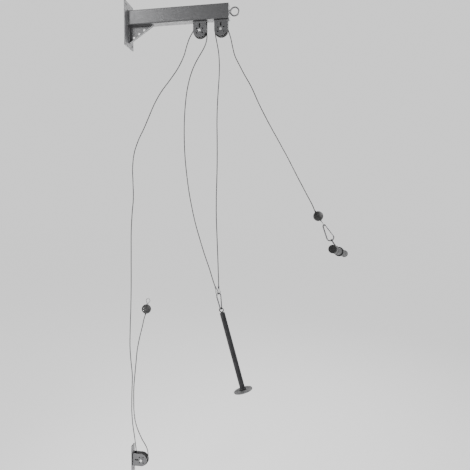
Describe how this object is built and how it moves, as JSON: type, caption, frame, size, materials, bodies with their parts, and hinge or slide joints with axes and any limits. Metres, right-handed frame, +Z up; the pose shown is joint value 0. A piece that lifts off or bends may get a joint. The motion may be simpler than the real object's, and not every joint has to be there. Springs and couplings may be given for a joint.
{
  "type": "wall-mounted cable pulley system",
  "caption": "Wall arm carrying cable pulleys with a low wall pulley, a loading pin lifted by the cables, a straight pull bar on a spring clip and a free cable end with a ball stop.",
  "frame": {"origin": "middle of the wall plate's back face", "axes": "+X away from the wall along the arm, +Z up, +Y along the pulley axles, away from the side with the bolt heads"},
  "size_m": [1.1464, 0.5006, 2.497],
  "materials": {
    "grey_coat": "mottled satin powder coat",
    "dark_coat": "satin powder coat",
    "zinc": "zinc plated",
    "clip_steel": "bright",
    "bearing_steel": "ground",
    "nylon": "moulded",
    "rubber": "fine grain",
    "cable_coat": "smooth coating over steel wire",
    "knurled_steel": "knurled"
  },
  "bodies": {
    "wall_frame": {"wall_plate": "grey_coat", "arm_tube": "grey_coat", "arm_end_plate": "grey_coat", "arm_gusset": "grey_coat", "arm_eye_bolt": "dark_coat", "arm_eye_nut": "zinc", "low_wall_plate": "grey_coat", "front_pulley_bracket": "grey_coat", "front_axle_bolt": "zinc", "front_axle_nut": "zinc", "front_axle_sleeve": "zinc", "rear_pulley_bracket": "grey_coat", "rear_axle_bolt": "zinc", "rear_axle_nut": "zinc", "rear_axle_sleeve": "zinc", "low_pulley_bracket": "grey_coat", "low_axle_bolt": "zinc", "low_axle_nut": "zinc", "low_axle_sleeve": "zinc", "front_cable_pin_side": "cable_coat", "front_cable_over_wheel": "cable_coat", "front_cable_bar_side": "cable_coat", "rear_cable_pin_side": "cable_coat", "rear_cable_over_wheel": "cable_coat", "rear_cable_down_run": "cable_coat", "rear_cable_round_low_wheel": "cable_coat", "rear_cable_low_end": "cable_coat"},
    "front_pulley": {"front_wheel": "nylon", "front_wheel_bearing": "bearing_steel"},
    "rear_pulley": {"rear_wheel": "nylon", "rear_wheel_bearing": "bearing_steel"},
    "low_pulley": {"low_wheel": "nylon", "low_wheel_bearing": "bearing_steel"},
    "pin_carriage": {"front_cable_pin_end": "clip_steel", "rear_cable_pin_end": "clip_steel"},
    "pin_clip": {"pin_clip_body": "clip_steel"},
    "pin_gate": {"pin_clip_gate": "clip_steel"},
    "load_pin": {"load_pin_eye": "dark_coat", "load_pin_shaft": "dark_coat", "load_pin_collar": "dark_coat", "load_pin_base": "dark_coat", "load_pin_screw": "zinc"},
    "bar_carriage": {"bar_ball_stop_head_half": "rubber", "bar_ball_stop_nut_half": "rubber", "front_cable_bar_end": "clip_steel"},
    "bar_clip": {"bar_clip_body": "clip_steel"},
    "bar_gate": {"bar_clip_gate": "clip_steel"},
    "pull_bar": {"bar_eye": "dark_coat", "bar_hub": "dark_coat", "bar_tube": "knurled_steel", "bar_near_end_cap": "rubber", "bar_far_end_cap": "rubber", "bar_near_collar": "zinc", "bar_far_collar": "zinc"},
    "low_carriage": {"low_ball_stop_head_half": "rubber", "low_ball_stop_nut_half": "rubber", "rear_cable_free_end": "clip_steel"}
  },
  "joints": [
    {"name": "pin_lift", "type": "slide", "parent": "wall_frame", "child": "pin_carriage", "axis": [0, 0, 1], "range_m": [0, 0.6], "deforming": ["front_cable_pin_side", "rear_cable_pin_side"]},
    {"name": "bar_pull", "type": "slide", "parent": "wall_frame", "child": "bar_carriage", "axis": [0.438, 0, -0.899], "range_m": [0, 0.6], "deforming": ["front_cable_bar_side"]},
    {"name": "low_pull", "type": "slide", "parent": "wall_frame", "child": "low_carriage", "axis": [0, 0, 1], "range_m": [0, 0.6], "deforming": ["rear_cable_low_end"]},
    {"name": "front_wheel_spin", "type": "hinge", "parent": "wall_frame", "child": "front_pulley", "pos_m": [0.496, 0, -0.0549], "axis": [0, 1, 0], "range_deg": [0, 1050]},
    {"name": "rear_wheel_spin", "type": "hinge", "parent": "wall_frame", "child": "rear_pulley", "pos_m": [0.387, 0, -0.0549], "axis": [0, 1, 0], "range_deg": [-1050, 0]},
    {"name": "low_wheel_spin", "type": "hinge", "parent": "wall_frame", "child": "low_pulley", "pos_m": [0.055, 0, -2.308], "axis": [0, 1, 0], "range_deg": [-1050, 0]},
    {"name": "pin_clip_swing", "type": "hinge", "parent": "pin_carriage", "child": "pin_clip", "pos_m": [0.4775, 0, -1.3895], "axis": [0.4095, 0.9091, 0.0767], "range_deg": [-20, 20]},
    {"name": "pin_gate_hinge", "type": "hinge", "parent": "pin_clip", "child": "pin_gate", "pos_m": [0.49494, 0.00614, -1.4674], "axis": [0.8935, -0.4166, 0.1673], "range_deg": [0, 15], "stiffness_Nm_per_rad": 0.3, "springref_deg": -17.19},
    {"name": "pin_swing", "type": "hinge", "parent": "pin_clip", "child": "load_pin", "pos_m": [0.49323, 0, -1.47354], "axis": [0.4095, 0.9091, 0.0767], "range_deg": [-22, 25]},
    {"name": "bar_clip_swing", "type": "hinge", "parent": "bar_carriage", "child": "bar_clip", "pos_m": [1.015, 0, -1.04003], "axis": [0, 1, 0], "range_deg": [-40, 40]},
    {"name": "bar_gate_hinge", "type": "hinge", "parent": "bar_clip", "child": "bar_gate", "pos_m": [1.02051, 0, -1.03705], "axis": [0, 1, 0], "range_deg": [0, 15], "stiffness_Nm_per_rad": 0.3, "springref_deg": -17.19},
    {"name": "bar_swing", "type": "hinge", "parent": "bar_clip", "child": "pull_bar", "pos_m": [1.04799, 0.00116, -1.10601], "axis": [0.1657, 0.9787, -0.1213], "range_deg": [-40, 40]}
  ],
  "couplings": [
    {"joint": "bar_pull", "follows": "pin_lift", "ratio": 1},
    {"joint": "low_pull", "follows": "pin_lift", "ratio": 1},
    {"joint": "front_wheel_spin", "follows": "pin_lift", "rad_per_m": 30.303},
    {"joint": "rear_wheel_spin", "follows": "pin_lift", "rad_per_m": -30.303},
    {"joint": "low_wheel_spin", "follows": "pin_lift", "rad_per_m": -30.303}
  ]
}
